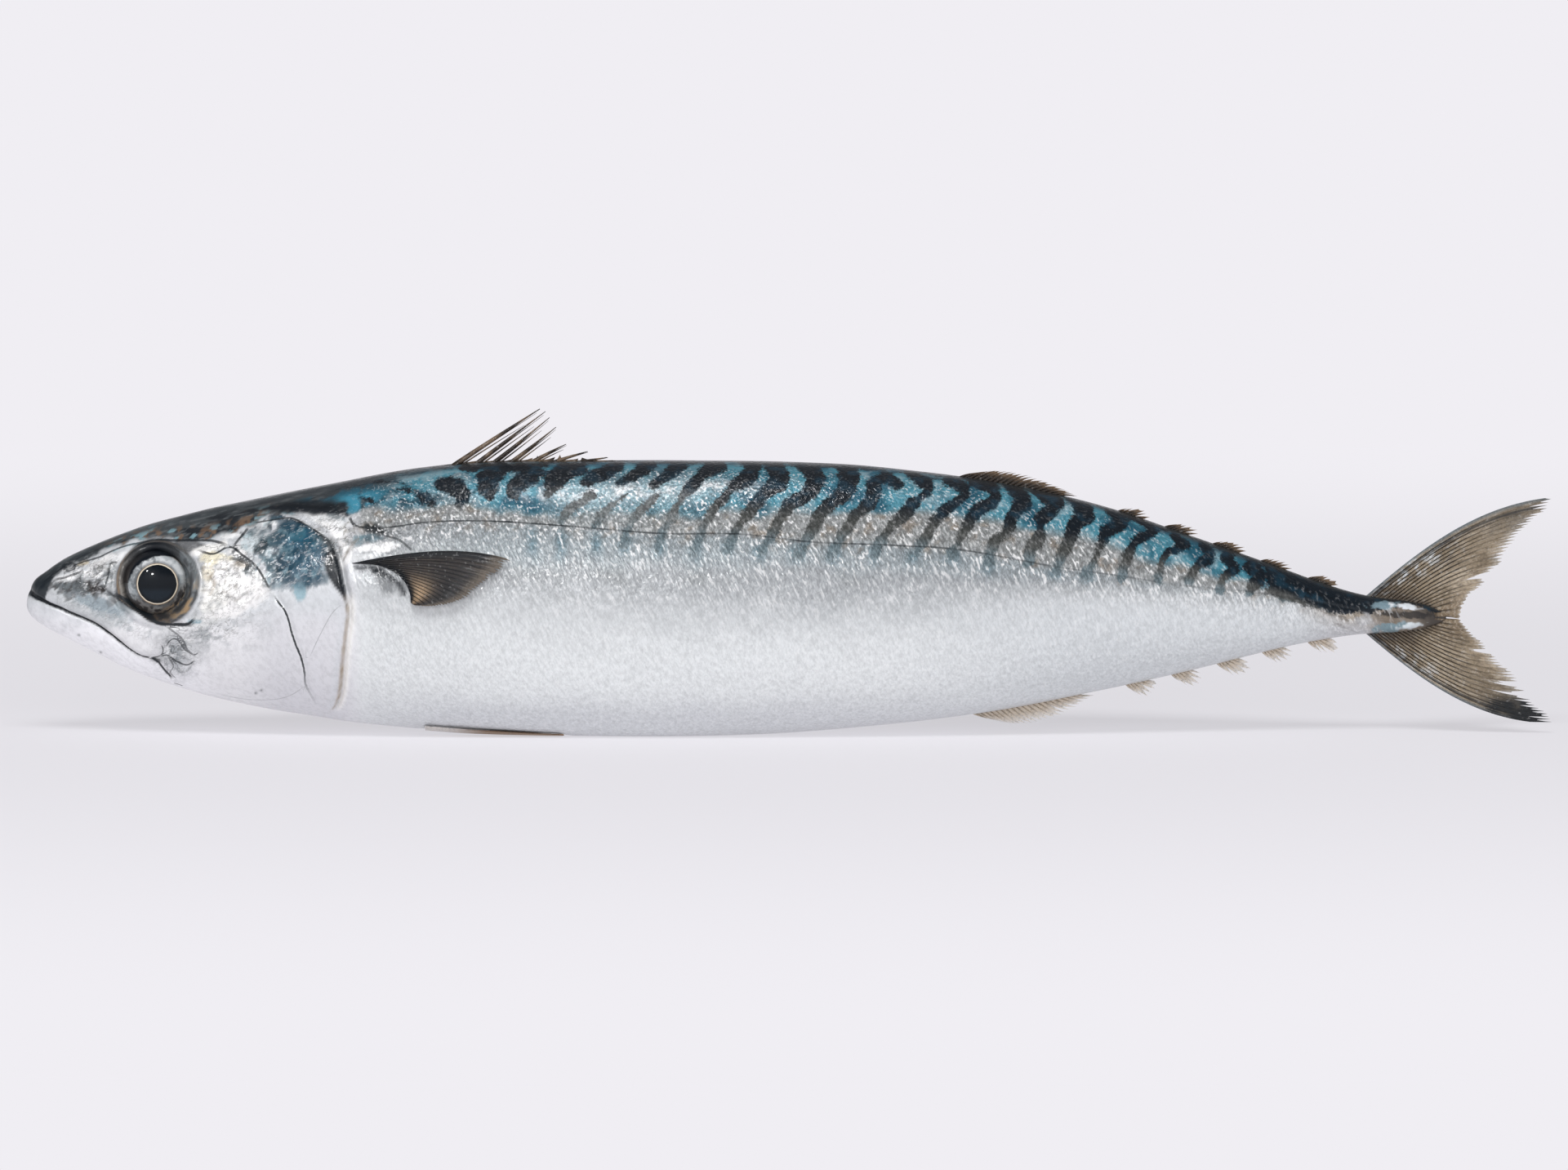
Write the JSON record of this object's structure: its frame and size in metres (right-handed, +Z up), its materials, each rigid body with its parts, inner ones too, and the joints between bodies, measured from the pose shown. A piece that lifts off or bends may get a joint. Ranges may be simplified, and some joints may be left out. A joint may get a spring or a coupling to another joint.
{
  "type": "whole raw mackerel",
  "caption": "Whole ungutted raw mackerel with a barred blue-green back, silver belly, folded fins, finlets and a forked tail, standing on its belly.",
  "frame": {"origin": "on the surface that the fish stands on, halfway between the jaw and the tips of the tail fin, in its middle plane", "axes": "+Z up from belly to back, the head points to -X and the tail to +X, the fish's left flank faces -Y"},
  "size_m": [0.35, 0.052, 0.0755],
  "materials": {
    "skin": "wet fine-scaled skin, dark blue-green bars on the back and silver on the belly",
    "fin": "wet translucent brown membrane on bony rays",
    "pale_fin": "wet translucent pale membrane on bony rays",
    "eye": "clear wet cornea over a black pupil and a silver iris"
  },
  "bodies": {
    "root": {"body": "skin", "left_eye": "eye", "right_eye": "eye", "first_dorsal_fin": "fin", "second_dorsal_fin": "fin", "dorsal_finlet_1": "fin", "dorsal_finlet_2": "fin", "dorsal_finlet_3": "fin", "dorsal_finlet_4": "fin", "dorsal_finlet_5": "fin", "left_pectoral_fin": "fin", "right_pectoral_fin": "fin", "tail_fin": "fin", "left_pelvic_fin": "pale_fin", "right_pelvic_fin": "pale_fin", "anal_fin": "pale_fin", "anal_finlet_1": "pale_fin", "anal_finlet_2": "pale_fin", "anal_finlet_3": "pale_fin", "anal_finlet_4": "pale_fin", "anal_finlet_5": "pale_fin"}
  },
  "joints": []
}
